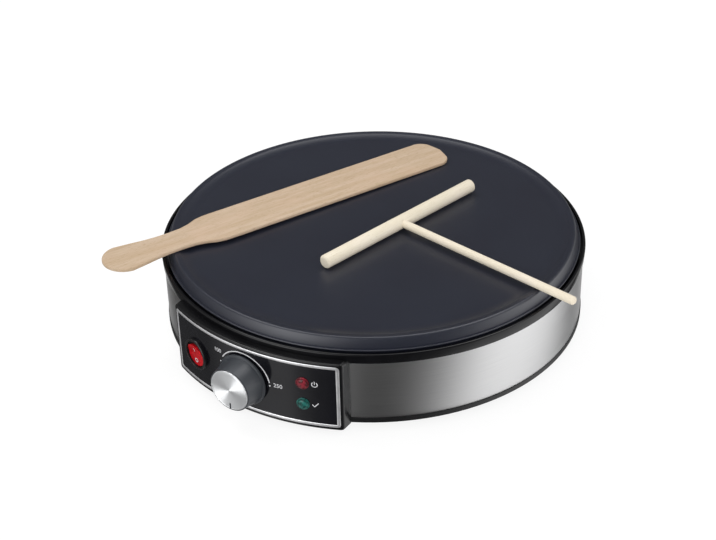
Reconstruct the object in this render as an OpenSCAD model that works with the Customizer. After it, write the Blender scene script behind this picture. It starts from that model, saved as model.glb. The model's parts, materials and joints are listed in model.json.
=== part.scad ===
// Electric crepe maker: a round cast plate on a steel-banded body, with a control
// panel on the front (-Y), and the wooden spatula and spreader lying on the plate.
// Millimetres. +Z up, origin on the body's axis where the feet stand.

/* [Body] */
// Outside radius of the stainless steel band
band_r = 165; // [155:0.5:175]
// Height of the steel band that shows
band_h = 48.1; // [47:0.1:60]
// Height of the black base edge below the band
base_edge_h = 4.5; // [3.5:0.5:8]
// Distance that the base edge stands out from the band
base_edge_out = 0.6; // [0.2:0.1:1]
// Height of the black ring above the band
ring_h = 7.7; // [7:0.1:9]
// Thickness of the steel sheet
sheet_t = 0.6; // [0.5:0.1:1]
// Height of the rubber feet
foot_h = 8; // [6:0.5:12]
// Radius of each foot at the top
foot_r = 11; // [9:0.5:13]
// Distance of the feet from the axis
foot_place_r = 138; // [136:1:142]

/* [Cooking plate] */
// Radius of the flat cooking surface
surface_r = 150; // [146:0.5:151]
// Radius of the rim's crest
crest_r = 156.3; // [155:0.1:157]
// Height of the crest above the cooking surface
crest_h = 2.5; // [1.5:0.1:4]
// Thickness of the plate
plate_t = 4; // [3.5:0.5:5]
// Radius of the heating element's ring
element_r = 100; // [96:1:102]
// Radius of the element's sheath
sheath_r = 4; // [3.5:0.25:4]

/* [Control panel] */
// Radius of the panel's curved front
panel_r = 173; // [172.5:0.1:174]
// Half width of the panel housing
panel_half_w = 75; // [75:0.5:78]
// Half width of the silver border
border_half_w = 73.1; // [71:0.1:73.4]
// Width of the silver border
border_w = 2.7; // [1.5:0.1:4]
// Height of the knob's axis above the floor
knob_z = 34.4; // [33:0.1:36]
// Radius of the knob's skirt
skirt_r = 20.6; // [19:0.1:21]
// Radius of the knob's aluminium cap
cap_r = 16.2; // [15:0.1:16.5]
// Distance that the knob stands out from the panel
knob_out = 17.5; // [14:0.5:20]
// Place of the rocker switch round the body, in degrees
switch_angle = -16.1; // [-17:0.1:-15]
// Place of the two lamps round the body, in degrees
lamp_angle = 15.9; // [15:0.1:17]
// Half of the height between the lamps
lamp_half_gap = 9; // [7:0.5:11]

/* [Wooden tools] */
// Length of the spatula
spatula_len = 317; // [290:1:330]
// Width of the spatula's blade
blade_w = 41; // [34:1:46]
// Width of the spatula's neck
neck_w = 25.6; // [20:0.2:30]
// Thickness of the spatula
spatula_t = 3.2; // [2.5:0.1:5]
// Length of the spreader's bar
bar_len = 164; // [140:1:180]
// Radius of the spreader's bar
bar_r = 5.4; // [5:0.1:8]
// Length of the spreader's handle from the bar's axis
handle_len = 169; // [160:1:190]
// Radius of the spreader's handle
handle_r = 3.25; // [2.5:0.05:4]

/* [Hidden] */

$fn = 96;
eps = 0.05;         // overreach of a cut
fit = 0.05;         // radial clearance of a running fit
gap = 0.25;         // air below the wooden tools

// Heights above the floor
base_z = foot_h;
floor_t = 2.4;
band_z = base_z + base_edge_h;
ring_z = band_z + band_h;
ring_top = ring_z + ring_h;
lip_z = ring_top + 0.1;
surface_z = lip_z + 6.4;
under_z = surface_z - plate_t;
shelf_z = ring_z + 3.3;
band_top = ring_z + 1.6;
reflector_z = base_z + 38;
reflector_t = 0.5;

// The four long screws that hold base and plate together
post_r = 118;
post_angles = [45, 135, 225, 315];
lip_r = crest_r + 5.2;
ring_r = band_r + 1.9;
element_z = under_z - 3.2;

function arc(cx, cy, r, from, to, steps) =
    [for (i = [0:steps]) let (a = from + (to - from) * i / steps) [cx + r * cos(a), cy + r * sin(a)]];

// Children drawn round the body: +Z outwards, +Y up, at a height and a distance from the axis
module face(angle, z, r) {
    rotate([0, 0, angle]) translate([0, -r, z]) rotate([90, 0, 0]) children();
}

module at_posts(r) {
    for (a = post_angles) rotate([0, 0, a]) translate([r, 0, 0]) children();
}

module tube(outer, inner, h) {
    difference() {
        cylinder(r = outer, h = h);
        translate([0, 0, -eps]) cylinder(r = inner, h = h + 2 * eps);
    }
}

// Rounded rectangle in the X-Z plane, centred on x, from low to high, run along -Y
module upright_block(half_w, low, high, corner, depth) {
    rotate([90, 0, 0]) linear_extrude(depth) {
        translate([-half_w, low + corner]) square([2 * half_w, high - low - 2 * corner]);
        translate([-half_w + corner, low]) square([2 * half_w - 2 * corner, high - low]);
        for (x = [-half_w + corner, half_w - corner], z = [low + corner, high - corner])
            translate([x, z]) circle(corner);
    }
}

// Curved sheet of the panel between two radii
module panel_sheet(inner, outer, half_w, low, high, corner) {
    intersection() {
        rotate([0, 0, -125]) rotate_extrude(angle = 70, $fn = 180) translate([inner, 0]) square([outer - inner, 90]);
        translate([0, -140, 0]) upright_block(half_w, low, high, corner, 60);
    }
}

// Round wire along a route, as an eight-sided sweep
module wire(route, r) {
    sides = 8;
    last = len(route) - 1;
    function along(i) = let (d = route[min(i + 1, last)] - route[max(i - 1, 0)]) d / norm(d);
    function side(i) = let (s = cross(along(i), [0.31, 0.17, 0.93])) s / norm(s);
    points = [for (i = [0:last], k = [0:sides - 1])
        let (u = side(i), v = cross(along(i), u), a = 360 * k / sides)
        route[i] + r * (cos(a) * u + sin(a) * v)];
    walls = [for (i = [0:last - 1], k = [0:sides - 1])
        let (a = i * sides + k, b = i * sides + (k + 1) % sides)
        each [[a, b, a + sides], [b, b + sides, a + sides]]];
    start = [for (k = [1:sides - 2]) [0, k + 1, k]];
    end = [for (k = [1:sides - 2]) [last * sides, last * sides + k, last * sides + k + 1]];
    polyhedron(points, concat(walls, start, end));
}

/* ---- cooking plate and heater ---- */

rib_half_w = 7;
rib_z = under_z - 4;
clamp_r = element_r - 12;
clamp_angles = [30, 150, 270];
clamp_z = element_z - sheath_r;
fuse_y = 62;
fuse_r = 2;
fuse_z = under_z - 2.6;
fuse_screw_y = fuse_y + 8;
earth_y = 80;
thermostat_pad_y = -120;
thermostat_pad_x = 9;
wire_r = 1.3;
thread_r = 1.95;      // M4 screw
thread_hole_r = 2.0;
small_r = 1.4;        // M3 screw
small_hole_r = 1.5;

// Half section of the plate: surface, rim, flared wall, lip and the skirt that stands on the ring
module plate_section() {
    crest_z = surface_z + crest_h;
    crest_round = 1.6;
    polygon(concat(
        [[0, under_z], [0, surface_z], [surface_r, surface_z]],
        arc(crest_r, crest_z - crest_round, crest_round, 112, 18, 8),
        [[lip_r - 1.7, lip_z + 2.4], [lip_r - 1.6, lip_z + 1.6], [lip_r - 1.1, lip_z + 1.3]],
        arc(lip_r - 0.5, lip_z + 0.8, 0.5, 80, 0, 4),
        [[lip_r, lip_z + 0.2], [lip_r - 0.2, lip_z]],
        [[crest_r + 2.6, lip_z], [crest_r + 2.6, shelf_z], [crest_r, shelf_z],
        [crest_r - 0.7, under_z - 1.3], [crest_r - 2.3, under_z]]));
}

module cooking_plate() {
    color([0.19, 0.20, 0.23]) difference() {
        union() {
            rotate_extrude($fn = 180) plate_section();
            translate([0, 0, rib_z]) tube(element_r + rib_half_w, element_r - rib_half_w, 5);
            translate([0, 0, reflector_z + reflector_t])
                at_posts(post_r) cylinder(r = 6, h = under_z - reflector_z + 0.5);
            for (a = clamp_angles)
                rotate([0, 0, a]) translate([clamp_r, 0, clamp_z]) cylinder(r = 4, h = under_z - clamp_z + 1);
            translate([0, fuse_screw_y, fuse_z - fuse_r]) cylinder(r = 3.5, h = 5.5);
            translate([0, earth_y, reflector_z + reflector_t]) cylinder(r = 4.5, h = under_z - reflector_z + 0.5);
            for (x = [-1, 1]) translate([x * thermostat_pad_x, thermostat_pad_y, rib_z]) cylinder(r = 4.5, h = 5);
        }
        rotate_extrude($fn = 180) translate([element_r, element_z]) circle(sheath_r + fit);
        translate([0, 0, reflector_z]) at_posts(post_r) cylinder(r = thread_hole_r, h = 22);
        for (a = clamp_angles)
            rotate([0, 0, a]) translate([clamp_r, 0, clamp_z - 1]) cylinder(r = small_hole_r, h = 9);
        translate([0, fuse_screw_y, fuse_z - fuse_r - 1]) cylinder(r = small_hole_r, h = 6.5);
        translate([0, earth_y, reflector_z]) cylinder(r = thread_hole_r, h = 16);
        for (x = [-1, 1])
            translate([x * thermostat_pad_x, thermostat_pad_y, rib_z - 1]) cylinder(r = small_hole_r, h = 7);
    }
}

// Open ring of sheathed element whose two cold ends turn down through the reflector
end_angle = 10;
pin_z = reflector_z - 9;
module element_ends(r, low, high) {
    for (s = [-1, 1])
        rotate([0, 0, 90 + s * end_angle]) translate([element_r, 0, low]) cylinder(r = r, h = high - low);
}
module heating_element() {
    color("dimgray") {
        rotate([0, 0, 90 + end_angle]) rotate_extrude(angle = 360 - 2 * end_angle, $fn = 180)
            translate([element_r, element_z]) circle(sheath_r);
        element_ends(sheath_r, reflector_z - 4, element_z);
        for (s = [-1, 1])
            rotate([0, 0, 90 + s * end_angle]) translate([element_r, 0, element_z]) sphere(sheath_r);
        element_ends(1.5, pin_z, reflector_z - 3.9);
    }
}
module element_insulators() {
    color("ivory") for (s = [-1, 1])
        rotate([0, 0, 90 + s * end_angle]) translate([element_r, 0, reflector_z - 1.5])
            difference() {
                union() {
                    cylinder(r = 7, h = 1.4);
                    cylinder(r = 5.4, h = 4);
                }
                translate([0, 0, -1]) cylinder(r = sheath_r + fit, h = 6);
            }
}
module element_clamps() {
    strap_t = 1.2;
    color("silver") for (a = clamp_angles)
        rotate([0, 0, a]) translate([clamp_r, 0, clamp_z - strap_t]) difference() {
            union() {
                translate([0, -5, 0]) cube([17, 10, strap_t]);
                cylinder(r = 5, h = strap_t);
            }
            translate([0, 0, -1]) cylinder(r = small_hole_r + 0.1, h = 3);
        }
}
// Pan-head screw pointing up, its head's seat at z = 0
module screw(shank, length, head, head_h) {
    cylinder(r = shank, h = length);
    difference() {
        translate([0, 0, -head_h]) cylinder(r = head, h = head_h);
        for (a = [0, 90]) rotate([0, 0, a])
            translate([-head * 0.6, -head * 0.12, -head_h - eps]) cube([head * 1.2, head * 0.24, head_h * 0.5]);
    }
}
module clamp_screws() {
    color("gainsboro") for (a = clamp_angles)
        rotate([0, 0, a]) translate([clamp_r, 0, clamp_z - 1.2]) screw(small_r, 8, 2.8, 1.8);
}
module heat_reflector() {
    rim_r = 146;
    color("lightgray") difference() {
        translate([0, 0, reflector_z]) union() {
            cylinder(r = rim_r, h = reflector_t);
            tube(rim_r, rim_r - reflector_t, 9);
        }
        translate([0, 0, reflector_z - 1]) at_posts(post_r) cylinder(r = 2.4, h = 3);
        translate([0, earth_y, reflector_z - 1]) cylinder(r = 2.4, h = 3);
        element_ends(5.5, reflector_z - 1, reflector_z + 2);
        translate([-20, -rim_r - 1, reflector_z - 1]) cube([40, 40, 12]);
    }
}
module thermal_fuse() {
    color("ivory") translate([0, fuse_y, fuse_z]) rotate([0, 90, 0]) {
        translate([0, 0, -7]) cylinder(r = fuse_r, h = 14);
        translate([0, 0, -16]) cylinder(r = 0.5, h = 32);
    }
}
fuse_strap_t = 0.8;
fuse_strap_z = fuse_z - fuse_r - fuse_strap_t;
module fuse_clamp() {
    color("silver") difference() {
        translate([-4, fuse_y - 3, fuse_strap_z]) cube([8, fuse_screw_y - fuse_y + 7, fuse_strap_t]);
        translate([0, fuse_screw_y, fuse_strap_z - 1]) cylinder(r = small_hole_r + 0.1, h = 3);
    }
}
module fuse_screw() {
    color("gainsboro") translate([0, fuse_screw_y, fuse_strap_z]) screw(small_r, 5.5, 2.8, 1.8);
}
module earth_screw() {
    color("goldenrod") translate([0, earth_y, reflector_z]) screw(thread_r, 14, 3.8, 2.2);
}

/* ---- casing ---- */

module ring_section() {
    edge = 1.3;
    polygon(concat(
        [[ring_r - 0.3, ring_z]],
        arc(ring_r - edge, ring_top - edge, edge, 0, 90, 5),
        arc(ring_r - 2.5, ring_top - 0.8, 0.8, 90, 180, 4),
        [[ring_r - 3.3, shelf_z], [crest_r - 2.3, shelf_z], [crest_r - 2.3, ring_z], [band_r - 2.6, ring_z],
        [band_r - 2.6, ring_z - 3.8], [band_r - 0.8, ring_z - 3.8], [band_r - 0.8, band_top],
        [band_r + 0.15, band_top], [band_r + 0.15, ring_z]]));
}
module upper_ring() {
    color([0.06, 0.06, 0.07]) rotate_extrude($fn = 180) ring_section();
}

gland_z = base_z + 18;
panel_screw_angle = 22;
panel_screw_z = [20, 53];
lamp_mid_z = knob_z + 1.2;
lamp_z = [lamp_mid_z + lamp_half_gap, lamp_mid_z - lamp_half_gap];
switch_hole_r = 11.2;
lamp_hole_r = 4.2;

module panel_holes(switch_r, shaft_r, lamp_r, depth_from, depth_to) {
    face(switch_angle, knob_z, depth_from) cylinder(r = switch_r, h = depth_to - depth_from);
    face(0, knob_z, depth_from) cylinder(r = shaft_r, h = depth_to - depth_from);
    for (z = lamp_z) face(lamp_angle, z, depth_from) cylinder(r = lamp_r, h = depth_to - depth_from);
}
module at_panel_screws(r) {
    for (a = [-panel_screw_angle, panel_screw_angle], z = panel_screw_z) face(a, z, r) children();
}
module steel_band() {
    color([0.72, 0.72, 0.74]) difference() {
        translate([0, 0, band_z]) rotate_extrude($fn = 180)
            translate([band_r - sheet_t, 0]) square([sheet_t, band_top - band_z]);
        panel_holes(12, 7, 5.5, 150, 170);
        at_panel_screws(150) cylinder(r = 1.8, h = 20);
        face(180, gland_z, 150) cylinder(r = 8, h = 20);
    }
}

block_y = 128;
block_low = base_z + 6.4;
block_screw_x = 6;

module base_section() {
    polygon([[0, base_z], [band_r, base_z], [band_r + base_edge_out, base_z + 0.6],
        [band_r + base_edge_out, band_z - 0.2], [band_r + base_edge_out - 0.2, band_z],
        [band_r - sheet_t - 0.1, band_z], [band_r - sheet_t - 0.1, band_z + 3.5],
        [band_r - 2.6, band_z + 3.5], [band_r - 3.4, base_z + floor_t], [0, base_z + floor_t]]);
}
module base_pan() {
    vent_count = 24;
    color([0.05, 0.05, 0.055]) difference() {
        union() {
            rotate_extrude($fn = 180) base_section();
            translate([0, 0, base_z + 1]) at_posts(post_r) cylinder(r = 7, h = reflector_z - base_z - 1);
            translate([0, 0, base_z + 1]) at_posts(foot_place_r) cylinder(r = 5, h = 9);
            translate([block_screw_x, block_y, base_z + 1]) cylinder(r = 4, h = block_low - base_z - 1);
        }
        for (i = [0:vent_count - 1]) rotate([0, 0, 360 * i / vent_count]) translate([55, -1.5, base_z - 1])
            cube([28, 3, floor_t + 2]);
        translate([0, 0, base_z - 1]) at_posts(post_r) {
            cylinder(r = 4.3, h = reflector_z - base_z - 5);
            cylinder(r = 2.3, h = reflector_z - base_z + 2);
        }
        translate([0, 0, base_z - 1]) at_posts(foot_place_r) cylinder(r = thread_hole_r, h = 9);
        translate([block_screw_x, block_y, base_z + 2]) cylinder(r = small_hole_r, h = 6);
    }
}
module plate_screws() {
    color("gainsboro") translate([0, 0, reflector_z - 6]) at_posts(post_r) screw(thread_r, 24, 3.9, 2.4);
}
module feet() {
    color([0.1, 0.1, 0.1]) at_posts(foot_place_r) difference() {
        rotate_extrude() polygon([[0, 0], [foot_r - 1.8, 0], [foot_r - 1, 0.8], [foot_r, foot_h], [0, foot_h]]);
        translate([0, 0, -1]) cylinder(r = 5, h = 4.2);
        translate([0, 0, -1]) cylinder(r = 2.2, h = foot_h + 2);
    }
}
module foot_screws() {
    color("gainsboro") translate([0, 0, 3.2]) at_posts(foot_place_r) screw(thread_r, foot_h + 3.5, 4, 2.2);
}
module cord_gland() {
    color([0.07, 0.07, 0.07]) face(180, gland_z, 0) difference() {
        union() {
            translate([0, 0, 158]) cylinder(r = 7.9, h = band_r + 0.2 - 158);
            translate([0, 0, 160.6]) cylinder(r = 9.5, h = band_r - 165 + 3.3);
            translate([0, 0, band_r + 0.1]) cylinder(r1 = 9.6, r2 = 8.6, h = 2.6);
        }
        translate([0, 0, 150]) cylinder(r = 3.7, h = 30);
    }
}

/* ---- wiring ---- */

pole_z = block_low + 5;
module terminal_block() {
    color("ivory") difference() {
        translate([-18, block_y - 9, block_low]) cube([36, 18, 12]);
        for (x = [-12, 0, 12]) {
            translate([x, block_y - 10, pole_z]) rotate([-90, 0, 0]) cylinder(r = 1.8, h = 20);
            for (y = [-5, 5]) translate([x, block_y + y, block_low + 4]) cylinder(r = 1.6, h = 10);
        }
        translate([block_screw_x, block_y, block_low - 1]) cylinder(r = 1.6, h = 14);
    }
}
module terminal_screws() {
    color("goldenrod") for (x = [-12, 0, 12], y = [-5, 5]) translate([x, block_y + y, pole_z + wire_r + 0.1]) difference() {
        cylinder(r = 1.5, h = 5.2);
        translate([-2, -0.3, 4.5]) cube([4, 0.6, 1]);
    }
}
module block_screw() {
    color("gainsboro") translate([block_screw_x, block_y, block_low + 12]) rotate([180, 0, 0])
        screw(small_r, 15.5, 2.8, 1.8);
}

wire_start_y = block_y - 2;
pin_at = [element_r * sin(end_angle), element_r * cos(end_angle)];
function at_switch(r, z) = [r * sin(switch_angle), -r * cos(switch_angle), z];
module wire_live() {
    color("saddlebrown") wire([[-12, wire_start_y, pole_z], [-12, 112, pole_z], [-24, 104, 21], [-58, 112, 22],
        [-92, 102, 22], [-118, 70, 22], [-132, 26, 22], [-132, -22, 22], [-118, -64, 22], [-92, -100, 22],
        [-64, -114, 27], [-46, -116, 35], [-40, -116.6, 38], [-36.9, -119.4, 39.8], at_switch(130, 40.2),
        at_switch(137.9, 40.2)], wire_r);
}
module wire_switched() {
    color("saddlebrown") wire([at_switch(137.9, 28.6), at_switch(130, 28.6), [-33.5, -120.6, 29.2],
        [-28, -119.8, 31.6], [-24.6, -121, 33.9], [-21.6, -121.25, knob_z],
        [leaf_end_x - 0.1, -121.25, knob_z]], wire_r);
}
module wire_heater() {
    color("firebrick") wire([[leaf_end_x - 0.1, -126.45, knob_z], [-21.6, -126.45, knob_z], [-25.4, -126, 30.6],
        [-29.5, -123.4, 25.4], [-34, -118, 23.4], [-44, -105, 24], [-62, -70, 30], [-66, -20, 40], [-66, 30, 41],
        [-52, 76, 41], [-34, 92, 38], [-23, 97.6, 33], [-pin_at[0], pin_at[1], 33.4],
        [-pin_at[0], pin_at[1], pin_z - 0.1]], wire_r);
}
module wire_neutral() {
    color("royalblue") wire([[12, wire_start_y, pole_z], [12, 112, pole_z], [13, 105, 21], [16, 99.6, 26],
        [pin_at[0], pin_at[1], 32], [pin_at[0], pin_at[1], pin_z - 0.1]], wire_r);
}
module wire_earth() {
    color("olivedrab") wire([[0, wire_start_y, pole_z], [0, 112, pole_z], [0, 104, 23], [0, 96, 34],
        [0, 91, 41.6], [0, 87.6, 44.4], [0, earth_y + 3.9, 44.6]], wire_r);
}

/* ---- control panel ---- */

housing_low = base_z - 2.2;
housing_high = ring_z + 3;
wall = 1.5;
fascia_t = 1;
border_low = housing_low + 2.4;
border_high = housing_high - 1.8;
trim_t = 0.4;
shaft_hole_r = 5;

module panel_housing() {
    color([0.07, 0.07, 0.075]) difference() {
        union() {
            difference() {
                panel_sheet(band_r + 0.2, panel_r, panel_half_w, housing_low, housing_high, 2.5);
                panel_sheet(band_r - 2, panel_r - fascia_t - wall, panel_half_w - 2,
                    housing_low + 2, housing_high - 2, 1);
            }
            at_panel_screws(band_r + 0.6) cylinder(r = 3.6, h = panel_r - fascia_t - wall - band_r);
        }
        panel_sheet(panel_r - fascia_t, panel_r + 5, border_half_w, border_low, border_high, 2.2);
        at_panel_screws(150) cylinder(r = small_hole_r - 0.1 + fit, h = 21.3);
        translate([0, 0, ring_z - 0.2]) cylinder(r = ring_r + 0.2, h = 20, $fn = 180);
        cylinder(r = band_r + base_edge_out + 0.15, h = band_z + 0.2, $fn = 180);
        panel_holes(switch_hole_r, shaft_hole_r, lamp_hole_r, 160, 180);
    }
}
module panel_fascia() {
    color([0.16, 0.16, 0.18]) difference() {
        panel_sheet(panel_r - fascia_t, panel_r, border_half_w - 0.1, border_low + 0.1, border_high - 0.1, 2.1);
        panel_holes(switch_hole_r, shaft_hole_r, lamp_hole_r, 160, 180);
    }
}
module panel_trim() {
    color([0.9, 0.9, 0.9]) difference() {
        panel_sheet(panel_r, panel_r + trim_t, border_half_w - 0.1, border_low + 0.1, border_high - 0.1, 2.1);
        translate([0, -140, 0]) upright_block(border_half_w - border_w, border_low + border_w,
            border_high - border_w, 0.8, 60);
    }
}
module panel_screws() {
    color("gainsboro") at_panel_screws(band_r - sheet_t - 0.1) screw(small_r - 0.1, 6.8, 2.8, 1.8);
}

/* ---- rocker switch ---- */

bezel_r = 12.6;
bezel_out = 2.6;
rocker_r = 9.4;
rocker_open_r = 10.4;
pivot_r = panel_r - 2;
rocker_tilt = 8;
pin_r = 1.4;

module switch_body() {
    back = 148;
    color([0.08, 0.08, 0.085]) face(switch_angle, knob_z, 0) difference() {
        union() {
            translate([0, 0, back]) cylinder(r = switch_hole_r - 0.2, h = panel_r - back + 0.1);
            translate([0, 0, panel_r]) rotate_extrude() polygon([[0, 0], [bezel_r, 0], [bezel_r, bezel_out - 1],
                [bezel_r - 1, bezel_out], [0, bezel_out]]);
        }
        translate([0, 0, 163]) cylinder(r = rocker_open_r, h = 20);
        translate([-20, 0, pivot_r]) rotate([0, 90, 0]) cylinder(r = pin_r + fit, h = 40);
        for (y = [-5.8, 0, 5.8]) translate([-3.2, y - 0.45, back - 1]) cube([6.4, 0.9, 8]);
    }
}
module switch_terminals() {
    color("goldenrod") face(switch_angle, knob_z, 0) for (y = [-5.8, 0, 5.8])
        translate([-3.1, y - 0.4, 138]) cube([6.2, 0.8, 16.8]);
}
// Two faces that meet in a shallow valley; the lower one is pressed in at rest
module switch_rocker() {
    valley = 3.3;
    edge = valley + rocker_r * tan(rocker_tilt);
    color([0.75, 0.08, 0.08]) face(switch_angle, knob_z, pivot_r) rotate([rocker_tilt, 0, 0]) union() {
        intersection() {
            translate([rocker_r, 0, 0]) rotate([0, -90, 0]) linear_extrude(2 * rocker_r)
                polygon([[-1, -6.5], [0.6, -rocker_r], [edge, -rocker_r], [valley, 0],
                    [edge, rocker_r], [0.6, rocker_r], [-1, 6.5], [-4.5, 3.2], [-4.5, -3.2]]);
            translate([0, 0, -6]) cylinder(r = rocker_r, h = 20);
        }
        translate([-rocker_open_r - 0.4, 0, 0]) rotate([0, 90, 0])
            cylinder(r = pin_r, h = 2 * rocker_open_r + 0.8);
    }
}

/* ---- lamps ---- */

module lamp_lens() {
    face(0, 0, 0) difference() {
        union() {
            translate([0, 0, 160]) cylinder(r = lamp_hole_r - 0.1, h = panel_r - 160 + 0.1);
            translate([0, 0, panel_r]) cylinder(r = 5, h = 0.9);
            intersection() {
                translate([0, 0, panel_r - 1.6]) sphere(5.1);
                translate([0, 0, panel_r + 0.5]) cylinder(r = 4.6, h = 5);
            }
        }
        translate([0, 0, 159]) cylinder(r = 3.1, h = 13);
    }
}
module power_lamp_lens() {
    color([0.7, 0.1, 0.1]) translate([0, 0, lamp_z[0]]) rotate([0, 0, lamp_angle]) lamp_lens();
}
module ready_lamp_lens() {
    color([0.1, 0.55, 0.45]) translate([0, 0, lamp_z[1]]) rotate([0, 0, lamp_angle]) lamp_lens();
}
module lamp_bulbs() {
    color("lightyellow") for (z = lamp_z) face(lamp_angle, z, 157) {
        cylinder(r = 3.9, h = 3);
        cylinder(r = 2.4, h = 12);
        translate([0, 0, 12]) sphere(2.4);
    }
}
module lamp_clips() {
    color("silver") for (z = lamp_z) face(lamp_angle, z, 161.2) tube(6.4, lamp_hole_r - 0.1 + fit, 0.6);
}

/* ---- thermostat and knob ---- */

bracket_y = 132;
bracket_t = 1.5;
shaft_r = 3;
bush_r = 4.5;
leaf_end_x = -19;
stack_x = leaf_end_x + 9;

module thermostat_bracket() {
    flange_z = rib_z - bracket_t;
    color("silver") difference() {
        union() {
            translate([-14, -bracket_y - bracket_t, knob_z - 10])
                cube([28, bracket_t, flange_z - knob_z + 10 + bracket_t]);
            translate([-14, -bracket_y - 0.1, flange_z]) cube([28, 19, bracket_t]);
        }
        face(0, knob_z, 120) cylinder(r = bush_r + fit, h = 30);
        face(0, knob_z, 120) translate([stack_x, 0, 0]) cylinder(r = 1.5 + fit, h = 30);
        for (x = [-1, 1])
            translate([x * thermostat_pad_x, thermostat_pad_y, flange_z - 1]) cylinder(r = small_hole_r + 0.1, h = 4);
    }
}
module bracket_screws() {
    color("gainsboro") for (x = [-1, 1])
        translate([x * thermostat_pad_x, thermostat_pad_y, rib_z - bracket_t]) screw(small_r, 7, 2.8, 1.8);
}
module thermostat_bush() {
    color("goldenrod") face(0, knob_z, 0) difference() {
        union() {
            translate([0, 0, 127]) cylinder(r = bush_r, h = 13);
            translate([0, 0, bracket_y - 2]) cylinder(r = 6.5, h = 2);
        }
        translate([0, 0, 120]) cylinder(r = shaft_r + fit, h = 30);
    }
}
module thermostat_nut() {
    color("silver") face(0, knob_z, bracket_y + bracket_t) difference() {
        rotate([0, 0, 30]) cylinder(r = 8, h = 3, $fn = 6);
        translate([0, 0, -1]) cylinder(r = bush_r + fit, h = 5);
    }
}
// Stack on one rivet: spacers between a bimetal strip and two contact leaves
leaf_places = [[116.6, 0.9], [121, 0.5], [126.2, 0.5]];
module thermostat_insulators() {
    tops = [bracket_y, 126.2, 121, 116.6];
    lows = [126.7, 121.5, 117.5, 113.6];
    color("ivory") for (i = [0:3]) face(0, knob_z, lows[i]) translate([stack_x, 0, 0])
        tube(3.4, 1.5 + fit, tops[i] - lows[i]);
}
module thermostat_leaves() {
    color("goldenrod") for (p = leaf_places) face(0, knob_z, p[0]) difference() {
        translate([leaf_end_x, -3.2, 0]) cube([24, 6.4, p[1]]);
        translate([stack_x, 0, -1]) cylinder(r = 1.5 + fit, h = 4);
    }
}
module thermostat_rivet() {
    color("silver") face(0, knob_z, 0) translate([stack_x, 0, 0]) {
        translate([0, 0, 113.6]) cylinder(r = 1.5, h = bracket_y + bracket_t - 113.6);
        translate([0, 0, 112.4]) cylinder(r = 2.6, h = 1.2);
        translate([0, 0, bracket_y + bracket_t]) cylinder(r = 2.6, h = 1.2);
    }
}
knob_back = panel_r + 0.9;
knob_top = panel_r + knob_out;
module thermostat_shaft() {
    color("silver") face(0, knob_z, 0) difference() {
        translate([0, 0, 127.2]) cylinder(r = shaft_r, h = knob_top - 3.3 - 127.2);
        translate([-5, 1.8, knob_top - 14]) cube([10, 5, 20]);
    }
}
module knob_body() {
    color([0.2, 0.21, 0.21]) face(0, knob_z, 0) difference() {
        rotate_extrude() polygon([[0, knob_back], [skirt_r - 0.6, knob_back], [skirt_r, knob_back + 0.6],
            [skirt_r, knob_back + 1.6], [skirt_r - 1.6, knob_back + 2.2], [cap_r + 0.9, knob_top - 0.9],
            [cap_r + 0.5, knob_top - 0.3], [cap_r + 0.1, knob_top - 0.3], [cap_r + 0.1, knob_top - 1],
            [0, knob_top - 1]]);
        translate([0, 0, knob_back - 1]) difference() {
            cylinder(r = shaft_r + fit, h = knob_top - 3.2 - knob_back + 1);
            translate([-5, 1.85, knob_top - 13 - knob_back]) cube([10, 5, 20]);
        }
    }
}
module knob_cap() {
    mark_from = 10.8;
    mark_to = cap_r + 1;
    color([0.85, 0.85, 0.86]) face(0, knob_z, knob_top - 1) difference() {
        rotate_extrude() polygon([[0, 0], [cap_r, 0], [cap_r, 0.7], [cap_r - 0.4, 1], [0, 1]]);
        translate([-0.6, -mark_to, 0.4]) cube([1.2, mark_to - mark_from, 2]);
    }
}

/* ---- wooden tools on the plate ---- */

spatula_end = [-136.5, -161.8];
spatula_turn = 67.8;
spatula_lift = 0.56;      // rests on the rim and on its own tip
handle_end_w = 36;

// Outline along +X: round handle end, neck, shoulders, straight blade and a blunt round tip
module spatula_outline() {
    neck = neck_w / 2;
    blade = blade_w / 2;
    tip = 12;
    half = concat(
        arc(handle_end_w / 2, 0, handle_end_w / 2, 180, 96, 8),
        [[30, neck + 3], [48, neck + 0.4], [60, neck], [72, neck + 0.6], [80, neck + 2.6], [88, blade - 1.6],
        [95, blade - 0.2], [103, blade]],
        arc(spatula_len - tip - 2, blade - tip, tip, 90, 20, 7),
        [[spatula_len, 0]]);
    polygon(concat(half, [for (i = [len(half) - 2:-1:1]) [half[i][0], -half[i][1]]]));
}
module spatula() {
    color([0.78, 0.66, 0.52])
        translate([spatula_end[0], spatula_end[1], surface_z + gap + spatula_len * sin(spatula_lift)])
            rotate([0, 0, spatula_turn]) rotate([0, spatula_lift, 0]) linear_extrude(spatula_t) spatula_outline();
}

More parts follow.
